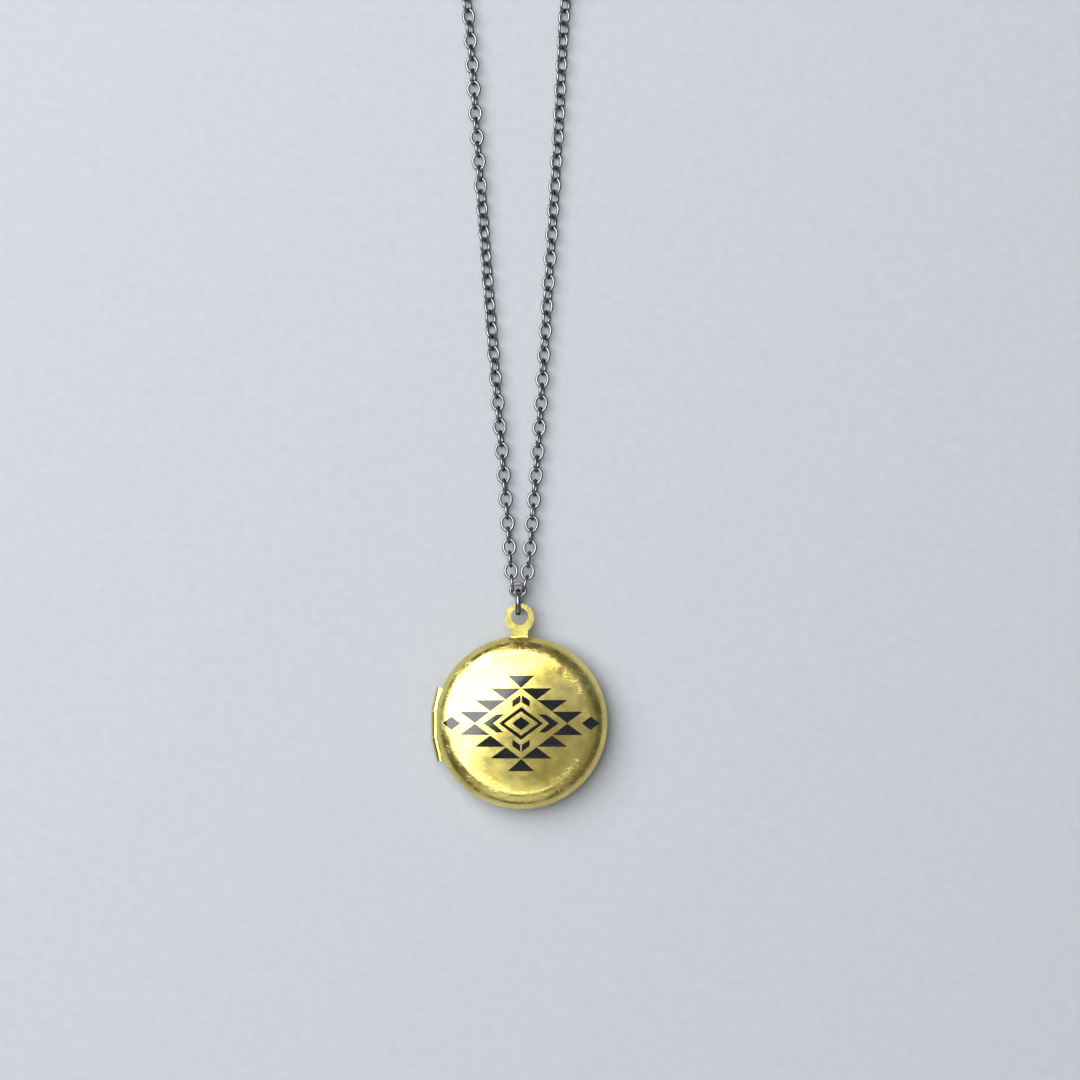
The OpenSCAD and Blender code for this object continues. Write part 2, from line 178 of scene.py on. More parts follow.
class LocketChainSizes(bpy.types.PropertyGroup):
    """Sizes of the chain and its coil"""

    link_length: length("Link length", "Outside length of a link", 2.08 * MM)
    link_width: length("Link width", "Outside width of a link", 1.7 * MM)
    wire: length("Wire", "Thickness of a link's wire", 0.34 * MM)
    coil_radius: length("Coil radius", "Radius of the coil's outermost turn", 11.9 * MM)
    turn_pitch: length("Turn pitch", "Distance between two turns of the coil", 1.85 * MM)


class LocketFinishes(bpy.types.PropertyGroup):
    """Colours of the finishes"""

    brass: colour("Brass", "Clean brass", (0.88, 0.75, 0.25))
    dull_brass: colour("Dull brass", "Brass with a thin tarnish", (0.62, 0.50, 0.11))
    warm_brass: colour("Warm brass", "Brass stained towards orange", (0.85, 0.46, 0.10))
    # Scratch colour: fresh brass in the scratches, made paler than clean brass as a painted glint
    scratch_glint: colour("Scratch", "Brass freshly scratched", (1.0, 0.93, 0.48))
    enamel: colour("Enamel", "Black enamel", (0.004, 0.004, 0.005))
    rubbed_enamel: colour("Rubbed enamel", "Enamel where it is rubbed", (0.05, 0.05, 0.05))
    gunmetal: colour("Gunmetal", "Dark plating of the chain", (0.24, 0.24, 0.25))
    # Edge tint: darkens the plating's reflection at grazing angles, a painted shade for dark surroundings seen in
    # the wire's sides
    gunmetal_edge_shade: colour("Gunmetal edge", "Dark plating seen edge-on", (0.04, 0.04, 0.05))
    rubbed: colour("Rubbed plating", "Plating that is rubbed thin", (0.34, 0.31, 0.25))
    film: colour("Film", "Clear film over the card", (0.94, 0.96, 0.97))
    card: colour("Card", "Blank card behind the film", (0.62, 0.59, 0.52))
    floor: colour("Floor", "Table top", (0.42, 0.44, 0.47))


# ---- Material making ----

def add(tree, kind, inputs=None, **settings):
    """Adds a shader node, sets it and links or fills its inputs."""
    new = tree.nodes.new(kind)
    for key, value in settings.items():
        setattr(new, key, value)
    for key, value in (inputs or {}).items():
        if isinstance(value, bpy.types.NodeSocket):
            tree.links.new(value, new.inputs[key])
        else:
            new.inputs[key].default_value = value
    return new


def finish_name(slot):
    """The name of the material for a slot of the record."""
    return f"finish_{slot}"


def new_material(slot):
    """An empty material with its shader and output."""
    material = bpy.data.materials.new(finish_name(slot))
    material.use_nodes = True
    tree = material.node_tree
    tree.nodes.clear()
    shader = tree.nodes.new("ShaderNodeBsdfPrincipled")
    output = tree.nodes.new("ShaderNodeOutputMaterial")
    tree.links.new(shader.outputs["BSDF"], output.inputs["Surface"])
    return material, tree, shader


def opaque(rgb):
    """A colour with full alpha."""
    return (*rgb, 1.0)


def math_node(tree, operation, first, second=0.0):
    """One step of arithmetic."""
    return add(tree, "ShaderNodeMath", {0: first, 1: second}, operation=operation).outputs[0]


def noise(tree, coords, scale, detail=2.0, roughness=0.5):
    """Noise with features one over scale in size."""
    return add(
        tree, "ShaderNodeTexNoise",
        {"Vector": coords, "Scale": scale, "Detail": detail, "Roughness": roughness},
    ).outputs["Fac"]


def ramp(tree, value, low, high, to_low=0.0, to_high=1.0):
    """A value taken from one range to another and held there."""
    return add(
        tree, "ShaderNodeMapRange",
        {"Value": value, "From Min": low, "From Max": high, "To Min": to_low, "To Max": to_high},
    ).outputs["Result"]


def blend(tree, amount, first, second):
    """A mix of two colours."""
    mix = add(tree, "ShaderNodeMix", data_type="RGBA")
    for socket, value in ((mix.inputs[0], amount), (mix.inputs[6], first), (mix.inputs[7], second)):
        if isinstance(value, bpy.types.NodeSocket):
            tree.links.new(value, socket)
        else:
            socket.default_value = value
    return mix.outputs[2]


def strokes(tree, coords, turn, along, across, low, high):
    """Thin straight marks at one angle: noise that is stretched along it."""
    turned = add(
        tree, "ShaderNodeMapping",
        {"Vector": coords, "Rotation": (0, 0, math.radians(turn)), "Scale": (along, across, along)},
    ).outputs[0]
    return ramp(tree, noise(tree, turned, 1.0, detail=0.0), low, high)


def scuffs(tree, coords, turn, scale, width):
    """Short curved scratches: thin lines where noise passes its middle, broken into pieces.

    The noise is stretched at an angle, which keeps the lines from curling up.
    """
    moved = add(
        tree, "ShaderNodeMapping",
        {
            "Vector": coords, "Location": (0.001 * turn, 0.0007 * turn, 0),
            "Rotation": (0, 0, math.radians(turn)), "Scale": (0.45, 1.3, 1.0),
        },
    ).outputs[0]
    off_middle = math_node(
        tree, "ABSOLUTE", math_node(tree, "SUBTRACT", noise(tree, moved, scale, 0.0), 0.5)
    )
    line = ramp(tree, off_middle, 0.0, width, 1.0, 0.0)
    piece = ramp(tree, noise(tree, coords, scale * 1.5, 0.0), 0.46, 0.58)
    return math_node(tree, "MULTIPLY", line, piece)


def bumped(tree, height, distance, strength=1.0, normal=None):
    """A normal from a height."""
    inputs = {"Height": height, "Distance": distance, "Strength": strength}
    if normal is not None:
        inputs["Normal"] = normal
    return add(tree, "ShaderNodeBump", inputs).outputs[0]


def make_brass(finish):
    """Raw brass: satin all over, and scratched in short marks on the covers' shoulders."""
    material, tree, shader = new_material("raw_brass")
    coords = add(tree, "ShaderNodeTexCoord").outputs["Object"]
    shoulder = add(tree, "ShaderNodeAttribute", attribute_name=WEAR).outputs["Fac"]
    ragged = ramp(tree, noise(tree, coords, 600, 2.0), 0.3, 0.6)
    worn = math_node(tree, "MULTIPLY", shoulder, ragged)

    hairlines = math_node(
        tree, "MAXIMUM",
        strokes(tree, coords, 38, 180, 9000, 0.62, 0.76),
        strokes(tree, coords, -48, 220, 8500, 0.64, 0.78),
    )
    marks = scuffs(tree, coords, 12, 900, 0.018)
    for turn, scale in ((48, 1150), (81, 1000), (117, 1250), (152, 1080), (173, 860)):
        marks = math_node(tree, "MAXIMUM", marks, scuffs(tree, coords, turn, scale, 0.020))
    marks = math_node(tree, "MULTIPLY", marks, worn)

    tarnish = ramp(tree, noise(tree, coords, 210, detail=5.0, roughness=0.62), 0.34, 0.68)
    stain = ramp(tree, noise(tree, coords, 150, detail=3.0), 0.60, 0.78, 0.0, 0.7)
    tint = blend(tree, tarnish, opaque(finish.brass), opaque(finish.dull_brass))
    tint = blend(
        tree, math_node(tree, "MULTIPLY", stain, shoulder), tint, opaque(finish.warm_brass)
    )
    # The scratches are real marks; their pale colour, lighter than clean brass, is a painted glint
    tint = blend(tree, math_node(tree, "MULTIPLY", marks, 0.8), tint, opaque(finish.scratch_glint))
    tree.links.new(tint, shader.inputs["Base Color"])

    satin = ramp(tree, noise(tree, coords, 900, detail=4.0), 0.3, 0.7, 0.14, 0.21)
    rough = math_node(tree, "ADD", satin, math_node(tree, "MULTIPLY", worn, 0.14))
    tree.links.new(rough, shader.inputs["Roughness"])
    shader.inputs["Metallic"].default_value = 1.0

    dents = noise(tree, coords, 420, detail=3.0)
    normal = bumped(tree, dents, 0.02 * MM, 0.3)
    normal = bumped(tree, hairlines, 0.0010 * MM, 0.3, normal)
    normal = bumped(tree, marks, 0.012 * MM, 1.0, normal)
    tree.links.new(normal, shader.inputs["Normal"])
    return material


def make_enamel(finish):
    """Glossy black enamel with a few fine rubs."""
    material, tree, shader = new_material("black_enamel")
    coords = add(tree, "ShaderNodeTexCoord").outputs["Object"]
    rubs = math_node(
        tree, "MAXIMUM",
        strokes(tree, coords, 35, 300, 6000, 0.64, 0.76),
        strokes(tree, coords, -30, 260, 5500, 0.66, 0.78),
    )
    cloud = noise(tree, coords, 600, detail=3.0)
    tint = blend(
        tree, ramp(tree, rubs, 0.0, 1.0, 0.0, 0.25), opaque(finish.enamel),
        opaque(finish.rubbed_enamel),
    )
    tree.links.new(tint, shader.inputs["Base Color"])
    tree.links.new(ramp(tree, cloud, 0.3, 0.7, 0.06, 0.11), shader.inputs["Roughness"])
    shader.inputs["IOR"].default_value = 1.62
    normal = bumped(tree, cloud, 0.012 * MM, 0.4)
    tree.links.new(bumped(tree, rubs, 0.001 * MM, 0.4, normal), shader.inputs["Normal"])
    return material


def make_gunmetal(finish):
    """Dark polished plating, a little uneven and rubbed paler in spots."""
    material, tree, shader = new_material("gunmetal")
    coords = add(tree, "ShaderNodeTexCoord").outputs["Object"]
    rubbed = ramp(tree, noise(tree, coords, 1400, detail=3.0), 0.55, 0.80)
    tint = blend(tree, rubbed, opaque(finish.gunmetal), opaque(finish.rubbed))
    tree.links.new(tint, shader.inputs["Base Color"])
    shader.inputs["Metallic"].default_value = 1.0
    # The dark edge tint is painted shade: it blackens the wire's sides where they would reflect dark surroundings
    shader.inputs["Specular Tint"].default_value = opaque(finish.gunmetal_edge_shade)
    rough = ramp(tree, noise(tree, coords, 2600, detail=2.0), 0.3, 0.7, 0.13, 0.22)
    tree.links.new(rough, shader.inputs["Roughness"])
    fine = noise(tree, coords, 5200, detail=2.0)
    tree.links.new(bumped(tree, fine, 0.004 * MM, 0.3), shader.inputs["Normal"])
    return material


def make_film(finish):
    """Clear film over the card."""
    material, tree, shader = new_material("clear_film")
    coords = add(tree, "ShaderNodeTexCoord").outputs["Object"]
    waves = noise(tree, coords, 260, detail=1.0)
    tree.links.new(ramp(tree, waves, 0.3, 0.7, 0.04, 0.10), shader.inputs["Roughness"])
    tree.links.new(bumped(tree, waves, 0.05 * MM, 0.3), shader.inputs["Normal"])
    shader.inputs["Base Color"].default_value = opaque(finish.film)
    shader.inputs["Alpha"].default_value = 0.22
    return material


def make_card(finish):
    """Uncoated card with fibres."""
    material, tree, shader = new_material("blank_card")
    coords = add(tree, "ShaderNodeTexCoord").outputs["Object"]
    fibres = math_node(
        tree, "MAXIMUM",
        strokes(tree, coords, 15, 900, 9000, 0.55, 0.75),
        strokes(tree, coords, 105, 800, 8000, 0.57, 0.77),
    )
    mottle = noise(tree, coords, 700, detail=4.0)
    darker = opaque([0.86 * part for part in finish.card])
    tint = blend(tree, ramp(tree, mottle, 0.35, 0.7), opaque(finish.card), darker)
    tree.links.new(tint, shader.inputs["Base Color"])
    tree.links.new(ramp(tree, mottle, 0.3, 0.7, 0.75, 0.9), shader.inputs["Roughness"])
    tree.links.new(bumped(tree, fibres, 0.01 * MM, 0.6), shader.inputs["Normal"])
    return material


def make_floor(finish):
    """Matt pale table top."""
    material, tree, shader = new_material("table_top")
    coords = add(tree, "ShaderNodeTexCoord").outputs["Object"]
    grain = noise(tree, coords, 900, detail=4.0)
    darker = opaque([0.94 * part for part in finish.floor])
    tree.links.new(
        blend(tree, ramp(tree, grain, 0.3, 0.7), opaque(finish.floor), darker),
        shader.inputs["Base Color"],
    )
    shader.inputs["Roughness"].default_value = 0.85
    tree.links.new(bumped(tree, grain, 0.05 * MM, 0.4), shader.inputs["Normal"])
    return material


# ---- Shape making ----

def mesh_object(name, bm):
    """An object from a bmesh, with its faces turned outwards."""
    bmesh.ops.recalc_face_normals(bm, faces=bm.faces)
    mesh = bpy.data.meshes.new(name)
    bm.to_mesh(mesh)
    bm.free()
    made = bpy.data.objects.new(name, mesh)
    bpy.context.scene.collection.objects.link(made)
    return made


def smooth(made, sharp_degrees=35):
    """Smooth shading with the sharp edges kept."""
    made.data.shade_smooth()
    made.data.set_sharp_from_angle(angle=math.radians(sharp_degrees))


def finish_piece(made, body, slot, replaced=()):
    """Gives a new piece its body and the material for its slot, and hides the nodes that it replaces."""
    made.data.materials.clear()
    made.data.materials.append(bpy.data.materials[finish_name(slot)])
    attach(made, body)
    if replaced:
        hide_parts(*replaced)


def lathe(name, outline, sides=256):
    """Turns an outline of (radius, height) about Z. It starts and ends on the axis."""
    bm = bmesh.new()
    first = bm.verts.new((0, 0, outline[0][1]))
    last = bm.verts.new((0, 0, outline[-1][1]))
    rings = []
    for radius, height in outline[1:-1]:
        turns = [2 * math.pi * side / sides for side in range(sides)]
        rings.append([
            bm.verts.new((radius * math.cos(turn), radius * math.sin(turn), height))
            for turn in turns
        ])
    for side in range(sides):
        after = (side + 1) % sides
        bm.faces.new((first, rings[0][side], rings[0][after]))
        bm.faces.new((last, rings[-1][after], rings[-1][side]))
        for inner, outer in zip(rings, rings[1:]):
            bm.faces.new((inner[side], outer[side], outer[after], inner[after]))
    return mesh_object(name, bm)


def rod(start, end, radius, sides=64):
    """A closed round rod between two points."""
    start, end = Vector(start), Vector(end)
    span = end - start
    turn = span.to_track_quat("Z", "Y").to_matrix().to_4x4()
    bm = bmesh.new()
    bmesh.ops.create_cone(
        bm, cap_ends=True, segments=sides, radius1=radius, radius2=radius, depth=span.length,
        matrix=Matrix.Translation((start + end) / 2) @ turn,
    )
    return mesh_object("cutter", bm)


def block(low, high):
    """A closed block between two corners."""
    low, high = Vector(low), Vector(high)
    bm = bmesh.new()
    bmesh.ops.create_cube(
        bm, size=1, matrix=Matrix.Translation((low + high) / 2) @ Matrix.Diagonal((*(high - low), 1))
    )
    return mesh_object("cutter", bm)


def cut_away(made, cutters):
    """Cuts the cutters out of a piece, for good."""
    for cutter in cutters:
        modifier = made.modifiers.new("cut", "BOOLEAN")
        modifier.object = cutter
        modifier.operation = "DIFFERENCE"
        modifier.solver = "EXACT"
    bpy.context.view_layer.update()
    evaluated = made.evaluated_get(bpy.context.evaluated_depsgraph_get())
    cut_mesh = bpy.data.meshes.new_from_object(evaluated)
    made.modifiers.clear()
    made.data = cut_mesh
    if not made.data.polygons:
        raise RuntimeError(f"nothing is left of {made.name}")
    for cutter in cutters:
        bpy.data.objects.remove(cutter, do_unlink=True)


class CoverShape:
    """The profile of a cover, as heights from the seam."""

    def __init__(self, sizes, domed, grow=0.0):
        self.start = CASE_RADIUS - sizes.shoulder_width
        self.width = sizes.shoulder_width + grow
        self.height = SEAM_HEIGHT + grow
        self.dome_angle = sizes.dome_angle if domed else 0.0
        self.dome_edge = self.start + self.width * math.sin(self.dome_angle)
        self.dome_radius = 0.0
        if domed:
            slope = math.atan(self.height / self.width * math.tan(self.dome_angle))
            self.dome_radius = self.dome_edge / math.sin(slope)

    def at(self, radius):
        """Height over the seam at a radius."""
        if radius <= self.dome_edge:
            edge = self.height * math.cos(self.dome_angle)
            if not self.dome_radius:
                return edge
            return edge + (
                math.sqrt(self.dome_radius ** 2 - radius ** 2)
                - math.sqrt(self.dome_radius ** 2 - self.dome_edge ** 2)
            )
        side = min((radius - self.start) / self.width, 1.0)
        return self.height * math.sqrt(1 - side * side)

    def outline(self, dome_steps=20, arc_steps=44):
        """Points from the centre to just over the seam."""
        points = []
        for step in range(dome_steps):
            radius = self.dome_edge * step / dome_steps
            points.append((radius, self.at(radius)))
        for step in range(arc_steps):
            turn = self.dome_angle + (math.pi / 2 - self.dome_angle) * step / arc_steps
            points.append(
                (self.start + self.width * math.sin(turn), self.height * math.cos(turn))
            )
        return points


def cover_outline(sizes, domed):
    """The closed outline of a pressed cover with its rim rounded."""
    half_gap = sizes.seam_gap / 2
    rim_in = CASE_RADIUS - sizes.rim
    edge = sizes.rim_round
    inset = 0.004 * MM
    edge_steps = 4
    outside = CoverShape(sizes, domed).outline()
    outside = [point for point in outside if point[1] > half_gap + edge]
    for step in range(edge_steps + 1):
        turn = math.pi / 2 * step / edge_steps
        outside.append((
            CASE_RADIUS - edge + edge * math.cos(turn) - inset,
            half_gap + edge - edge * math.sin(turn),
        ))
    inside = CoverShape(sizes, domed, grow=-sizes.sheet).outline()
    inside = [(min(radius, rim_in), height) for radius, height in inside if height > half_gap]
    inside.append((rim_in, half_gap))
    return outside + inside[::-1]


def mirrored_four(cells):
    """Cells of one quarter, mirrored to all four."""
    return [
        [(side * x, end * y) for x, y in cell]
        for cell in cells for side in (1, -1) for end in (1, -1)
    ]


def motif_cells(sizes):
    """The motif as flat three- and four-sided cells, in metres."""
    step_x, step_y = sizes.step_width / MM, sizes.step_height / MM
    steps = 3
    quarter = [FRAME_SIDE, CHEVRON_HALF, LEAF]
    for step in range(steps):
        quarter.append([
            (step * step_x + MOTIF_GAP, (steps - step) * step_y),
            ((step + 1) * step_x, (steps - 1 - step) * step_y + MOTIF_GAP),
            ((step + 2) * step_x, (steps - step) * step_y),
        ])
    cells = mirrored_four(quarter)
    for shift in (-SIDE_DIAMOND_X, 0, SIDE_DIAMOND_X):
        cells.append([(x + shift, y) for x, y in SMALL_DIAMOND])
    for end in (1, -1):
        cells.append([
            (0, end * (steps * step_y + MOTIF_GAP)),
            (END_HALF, end * END_TOP),
            (-END_HALF, end * END_TOP),
        ])
    return [[(x * MM, y * MM) for x, y in cell] for cell in cells]


def curve_through(points, step):
    """A smooth curve through points, as points a step apart."""
    knots = [Vector(point) for point in points]
    parts = 40
    fine = []
    for index in range(len(knots) - 1):
        a, b = knots[max(index - 1, 0)], knots[index]
        c, d = knots[index + 1], knots[min(index + 2, len(knots) - 1)]
        for part in range(parts):
            t = part / parts
            fine.append(0.5 * (
                2 * b + (c - a) * t + (2 * a - 5 * b + 4 * c - d) * t ** 2
                + (3 * b - a - 3 * c + d) * t ** 3
            ))
    fine.append(knots[-1])
    return evenly(fine, step)


def evenly(points, step):
    """Points taken a step apart along a line of many points."""
    spaced = [points[0]]
    due = step
    travelled = 0.0
    for before, after in zip(points, points[1:]):
        span = (after - before).length
        while span > 0 and travelled + span >= due:
            spaced.append(before.lerp(after, (due - travelled) / span))
            due += step
        travelled += span
    return spaced


def coil_points(sizes, hand, layer_height, end_height):
    """Turns of the coil. hand is 1 for the strand on the right and -1 for the one on the left.

    The last part of the last turn winds into the hole, where the clasp lies. The angles are in
    degrees and the lengths in millimetres.
    """
    start, whole, wind_in, turn_step = -25, 790, 122, 6
    inner_radius = 4.7 if hand < 0 else 4.65
    radius = sizes.coil_radius / MM
    points = []
    for turned in range(0, whole + wind_in + 1, turn_step):
        spiral = radius - sizes.turn_pitch / MM * turned / 360
        height = layer_height
        if turned > whole:
            late = (turned - whole) / wind_in
            ease = late * late * (3 - 2 * late)
            spiral += (inner_radius - spiral) * ease
            height += (end_height - layer_height) * ease
        turn = math.radians(start + turned)
        points.append((
            COIL_CENTRE[0] + hand * spiral * math.cos(turn),
            COIL_CENTRE[1] + spiral * math.sin(turn),
            height,
        ))
    return points


def link_form(sizes, around=30, sides=10):
    """One oval link lying flat with its length along X: its vertices and faces."""
    wire = sizes.wire / 2
    half_length = sizes.link_length / 2 - wire
    half_width = sizes.link_width / 2 - wire
    vertices = []
    for step in range(around):
        turn = 2 * math.pi * (step + 0.5) / around
        middle = Vector((half_length * math.cos(turn), half_width * math.sin(turn), 0))
        outwards = Vector((middle.x / half_length ** 2, middle.y / half_width ** 2, 0)).normalized()
        for side in range(sides):
            roll = 2 * math.pi * side / sides
            vertices.append(
                middle + wire * (math.cos(roll) * outwards + math.sin(roll) * Vector((0, 0, 1)))
            )
    faces = []
    for step in range(around):
        for side in range(sides):
            after, beside = (step + 1) % around, (side + 1) % sides
            faces.append((
                step * sides + side, after * sides + side,
                after * sides + beside, step * sides + beside,
            ))
    return vertices, faces


def between_stops(stops, place):
    """The value at a place, between stops of (place, value)."""
    if place <= stops[0][0]:
        return stops[0][1]
    for (low, first), (high, last) in zip(stops, stops[1:]):
        if place <= high:
            return first + (last - first) * (place - low) / (high - low)
    return stops[-1][1]


def strand(name, path, sizes, leans, draw):
    """A mesh of links along a path, each turned a quarter from the last."""
    form, form_faces = link_form(sizes)
    pitch = sizes.link_length - 2 * sizes.wire
    lead = sizes.link_length / 2 - 1.5 * sizes.wire
    arm = (sizes.link_width - sizes.wire) / 2
    step = 0.05 * MM
    reach = 8
    fine = evenly(path, step)
    vertices, faces = [], []
    travelled = lead
    count = 0
    while travelled < (len(fine) - 1) * step - lead / 2:
        at = int(travelled / step)
        before, after = fine[max(at - reach, 0)], fine[min(at + reach, len(fine) - 1)]
        along = (after - before).normalized()
        side = along.cross(Vector((0, 0, 1))).normalized()
        up = side.cross(along)
        lean = math.radians(
            between_stops(leans, fine[at].y / MM) + draw.uniform(-LOOSE_LEAN, LOOSE_LEAN)
        )
        roll = lean + (math.pi / 2 if count % 2 == 0 else 0.0)
        across = math.cos(roll) * side + math.sin(roll) * up
        place = Matrix((along, across, along.cross(across))).transposed()
        middle = fine[at].copy()
        middle.z = max(middle.z, arm * max(math.cos(lean), math.sin(lean)) + sizes.wire / 2)
        first = len(vertices)
        vertices += [middle + place @ point for point in form]
        faces += [tuple(first + corner for corner in face) for face in form_faces]
        travelled += pitch
        count += 1
    mesh = bpy.data.meshes.new(name)
    mesh.from_pydata(vertices, [], faces)
    mesh.update()
    made = bpy.data.objects.new(name, mesh)
    bpy.context.scene.collection.objects.link(made)
    mesh.shade_smooth()
    return made


def soft_light(name, heading, tilt, distance, across, along, radiance):
    """A flat light that faces the locket. Its size is given by the half angles it fills."""
    data = bpy.data.lights.new(name, "AREA")
    data.shape = "RECTANGLE"
    data.size = 2 * distance * math.tan(math.radians(across))
    data.size_y = 2 * distance * math.tan(math.radians(along))
    data.energy = radiance * math.pi * data.size * data.size_y
    light = bpy.data.objects.new(name, data)
    turn, lean = math.radians(heading), math.radians(tilt)
    outwards = Vector((
        math.cos(turn) * math.sin(lean), math.sin(turn) * math.sin(lean), math.cos(lean)
    ))
    light.location = outwards * distance
    light.rotation_euler = (-outwards).to_track_quat("-Z", "Y").to_euler()
    bpy.context.scene.collection.objects.link(light)


# ---- Operators ----

class LOCKET_OT_camera(bpy.types.Operator):
    """Sets the camera straight over the locket and the lower part of its chain"""

    bl_idname = "locket.camera"
    bl_label = "Camera"

    def execute(self, context):
        data = bpy.data.cameras.new("camera")
        data.sensor_width = 36
        data.lens = data.sensor_width * CAMERA_DISTANCE / VIEW_WIDTH
        camera = bpy.data.objects.new("camera", data)
        camera.location = Vector(VIEW_CENTRE) + Vector((0, 0, CAMERA_DISTANCE))
        context.scene.collection.objects.link(camera)
        context.scene.camera = camera
        return {"FINISHED"}


class LOCKET_OT_finishes(bpy.types.Operator):
    """Makes the materials and gives them to the carried-over parts"""

    bl_idname = "locket.finishes"
    bl_label = "Finishes"

    def execute(self, context):
        finish = context.scene.locket_finishes
        makers = (make_brass, make_enamel, make_gunmetal, make_film, make_card, make_floor)
        for maker in makers:
            maker(finish)
        for piece in frame["record"]["subparts"]:
            node = frame["nodes"][piece["node"]]
            if node.type != "MESH":
                raise RuntimeError(f"{node.name} is not a mesh")
            for slot in node.material_slots:
                slot.material = bpy.data.materials[finish_name(piece["material_slot"])]
        return {"FINISHED"}


class LOCKET_OT_edges(bpy.types.Operator):
    """Breaks the sharp edges of the carried-over metal parts"""

    bl_idname = "locket.edges"
    bl_label = "Soft Edges"

    def execute(self, context):
        for name, width in EDGE_WIDTHS.items():
            modifier = frame["nodes"][name].modifiers.new("soft edge", "BEVEL")
            modifier.width = width * MM
            modifier.segments = 3
            modifier.limit_method = "ANGLE"
            modifier.angle_limit = math.radians(40)
        return {"FINISHED"}


class LOCKET_OT_cards(bpy.types.Operator):
    """Lets the cards lie a hair behind their films, where the two share a face"""

    bl_idname = "locket.cards"
    bl_label = "Cards"

    def execute(self, context):
        for name in ("front_card", "back_card"):
            modifier = frame["nodes"][name].modifiers.new("air gap", "DISPLACE")
            modifier.mid_level = 0
            modifier.strength = -AIR_GAP
        return {"FINISHED"}


class LOCKET_OT_chain(bpy.types.Operator):
    """Lays the two strands of links and winds the rest into a coil"""

    bl_idname = "locket.chain"
    bl_label = "Chain"

    def execute(self, context):
        sizes = context.scene.locket_chain
        draw = random.Random(7)
        strands = (
            ("left_strand", LEFT_ROUTE, -1, (LIE, LIE), LEFT_LEAN,
             ("chain_left", "chain_coil"), ("chain_end_ring", "centre_link")),
            ("right_strand", RIGHT_ROUTE, 1, (2.2, LIE), RIGHT_LEAN,
             ("chain_right", "chain_coil"),
             ("clasp_body", "clasp_rivet", "clasp_spring", "clasp_tail_ring", "clasp_lever")),
        )
        for name, route, hand, heights, leans, replaced, pieces in strands:
            points = route + coil_points(sizes, hand, *heights)
            path = curve_through([[part * MM for part in point] for point in points], PATH_STEP)
            made = strand(name, path, sizes, leans, draw)
            finish_piece(made, "neck_chain", "gunmetal", replaced)
        return {"FINISHED"}


class LOCKET_OT_covers(bpy.types.Operator):
    """Presses the two covers and files them for the hinge and the bail"""

    bl_idname = "locket.covers"
    bl_label = "Covers"

    def execute(self, context):
        sizes = context.scene.locket_case
        knuckle_low, knuckle_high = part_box("middle_knuckle")
        hinge_y = (knuckle_low[1] + knuckle_high[1]) / 2
        half = (knuckle_high[1] - knuckle_low[1]) / 2
        radius = (knuckle_high[0] - knuckle_low[0]) / 2
        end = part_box("upper_knuckle")[1][1] - hinge_y

        def middle(grow, longer):
            return rod(
                (HINGE_AXIS.x, hinge_y - half - longer, SEAM_HEIGHT),
                (HINGE_AXIS.x, hinge_y + half + longer, SEAM_HEIGHT),
                radius + grow,
            )

        def outer(side, grow):
            start = half + sizes.knuckle_gap
            reach = end + grow - start
            shift = reach * math.tan(sizes.knuckle_tilt)
            return rod(
                (HINGE_AXIS.x, hinge_y + side * (start - grow), SEAM_HEIGHT),
                (HINGE_AXIS.x + shift, hinge_y + side * (start + reach), SEAM_HEIGHT),
                radius + grow,
            )

        flat_x = HINGE_AXIS.x + sizes.flat_offset
        far = 2 * CASE_RADIUS

        def hinge_flat():
            return block((-far, -far, -far), (flat_x, far, far))

        front = lathe("front_cover", cover_outline(sizes, domed=True))
        front.data.transform(Matrix.Translation((0, 0, SEAM_HEIGHT)))
        cut_away(front, [
            hinge_flat(), middle(sizes.knuckle_clear, sizes.knuckle_gap / 2), outer(1, 0),
            outer(-1, 0),
        ])

        back = lathe("back_cover", cover_outline(sizes, domed=False))
        back.data.transform(
            Matrix.Translation((0, 0, SEAM_HEIGHT)) @ Matrix.Diagonal((1, 1, -1, 1))
        )
        back.data.flip_normals()
        bail_low, bail_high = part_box("bail")
        bail_x = (bail_low[0] + bail_high[0]) / 2
        neck = sizes.bail_neck / 2
        notch_in, notch_out = 0.3 * MM, 2 * MM
        notch = block(
            (bail_x - neck, bail_low[1] - notch_in, bail_low[2]),
            (bail_x + neck, bail_low[1] + notch_out, 2 * far),
        )
        cut_away(back, [
            hinge_flat(), notch, middle(0, 0), outer(1, sizes.knuckle_clear),
            outer(-1, sizes.knuckle_clear),
        ])

        least_wear = 0.06
        for cover in (front, back):
            smooth(cover)
            wear = cover.data.attributes.new(WEAR, "FLOAT", "POINT")
            for vertex, value in zip(cover.data.vertices, wear.data):
                radius = math.hypot(vertex.co.x, vertex.co.y)
                span = (radius - sizes.wear_start) / (sizes.wear_full - sizes.wear_start)
                value.value = min(max(span, least_wear), 1.0)
        finish_piece(front, "front", "raw_brass", ("front_shell",))
        finish_piece(back, "back", "raw_brass", ("back_shell",))
        return {"FINISHED"}


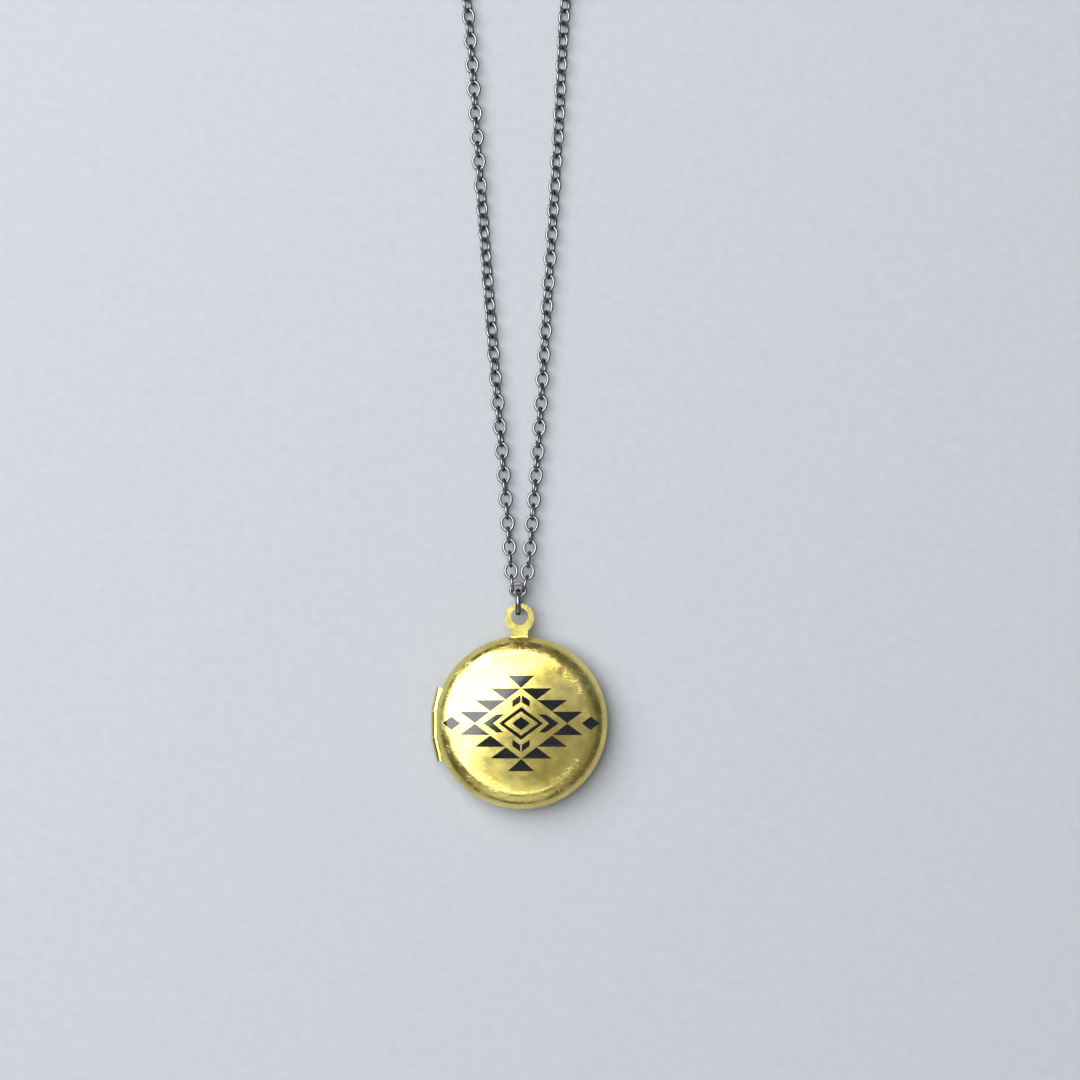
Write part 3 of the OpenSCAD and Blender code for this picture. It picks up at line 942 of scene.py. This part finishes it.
class LOCKET_OT_enamel(bpy.types.Operator):
    """Lays the enamel motif on the front cover's curve"""

    bl_idname = "locket.enamel"
    bl_label = "Enamel Motif"

    def execute(self, context):
        sizes = context.scene.locket_motif
        top = CoverShape(context.scene.locket_case, domed=True, grow=sizes.thickness)
        bm = bmesh.new()
        for cell in motif_cells(sizes):
            bm.faces.new([bm.verts.new((x, y, 0)) for x, y in cell])
        bmesh.ops.remove_doubles(bm, verts=bm.verts, dist=0.001 * MM)
        bmesh.ops.subdivide_edges(bm, edges=bm.edges, cuts=7, use_grid_fill=True)
        bmesh.ops.triangulate(bm, faces=[face for face in bm.faces if len(face.verts) > 4])
        for vertex in bm.verts:
            radius = math.hypot(vertex.co.x, vertex.co.y)
            vertex.co.z = SEAM_HEIGHT + top.at(radius)
        rim = [edge for edge in bm.edges if edge.is_boundary]
        sunk = bmesh.ops.extrude_edge_only(bm, edges=rim)["geom"]
        for part in sunk:
            if isinstance(part, bmesh.types.BMVert):
                part.co.z -= 2 * sizes.thickness
        made = mesh_object("enamel", bm)
        if made.data.polygons[0].normal.z < 0:
            made.data.flip_normals()
        smooth(made, 40)
        finish_piece(made, "front", "black_enamel", ("enamel_motif",))
        return {"FINISHED"}


class LOCKET_OT_stage(bpy.types.Operator):
    """Lays the table top and sets the soft lights"""

    bl_idname = "locket.stage"
    bl_label = "Stage"

    def execute(self, context):
        bm = bmesh.new()
        bmesh.ops.create_grid(bm, x_segments=1, y_segments=1, size=1.0)
        floor = mesh_object("table", bm)
        floor.data.materials.append(bpy.data.materials[finish_name("table_top")])
        for light in LIGHTS:
            soft_light(*light)

        world = bpy.data.worlds.new("studio")
        world.use_nodes = True
        world.node_tree.nodes["Background"].inputs["Color"].default_value = SKY_COLOUR
        world.node_tree.nodes["Background"].inputs["Strength"].default_value = SKY_STRENGTH
        context.scene.world = world
        context.scene.view_settings.view_transform = "Standard"
        return {"FINISHED"}


class LOCKET_PT_panel(bpy.types.Panel):
    """The locket's sizes, colours and steps"""

    bl_label = "Locket"
    bl_idname = "LOCKET_PT_panel"
    bl_space_type = "VIEW_3D"
    bl_region_type = "UI"
    bl_category = "Locket"

    def draw(self, context):
        for name, group in GROUPS.items():
            box = self.layout.box()
            settings = getattr(context.scene, name)
            for key in group.__annotations__:
                box.prop(settings, key)
        for operator in STEPS:
            self.layout.operator(operator.bl_idname)


GROUPS = {
    "locket_case": LocketCaseSizes,
    "locket_motif": LocketMotifSizes,
    "locket_chain": LocketChainSizes,
    "locket_finishes": LocketFinishes,
}
STEPS = (
    LOCKET_OT_camera, LOCKET_OT_finishes, LOCKET_OT_chain, LOCKET_OT_edges, LOCKET_OT_cards,
    LOCKET_OT_covers, LOCKET_OT_enamel, LOCKET_OT_stage,
)
CLASSES = (*GROUPS.values(), *STEPS, LOCKET_PT_panel)


def register():
    """Registers the classes and puts the settings on the scene."""
    for cls in CLASSES:
        bpy.utils.register_class(cls)
    for name, group in GROUPS.items():
        setattr(bpy.types.Scene, name, bpy.props.PointerProperty(type=group))


def unregister():
    """Takes the settings and the classes away again."""
    for name in GROUPS:
        delattr(bpy.types.Scene, name)
    for cls in reversed(CLASSES):
        bpy.utils.unregister_class(cls)


def main():
    """Builds the whole locket."""
    register()
    for operator in STEPS:
        group, call = operator.bl_idname.split(".")
        getattr(getattr(bpy.ops, group), call)()


if __name__ == "__main__":
    main()
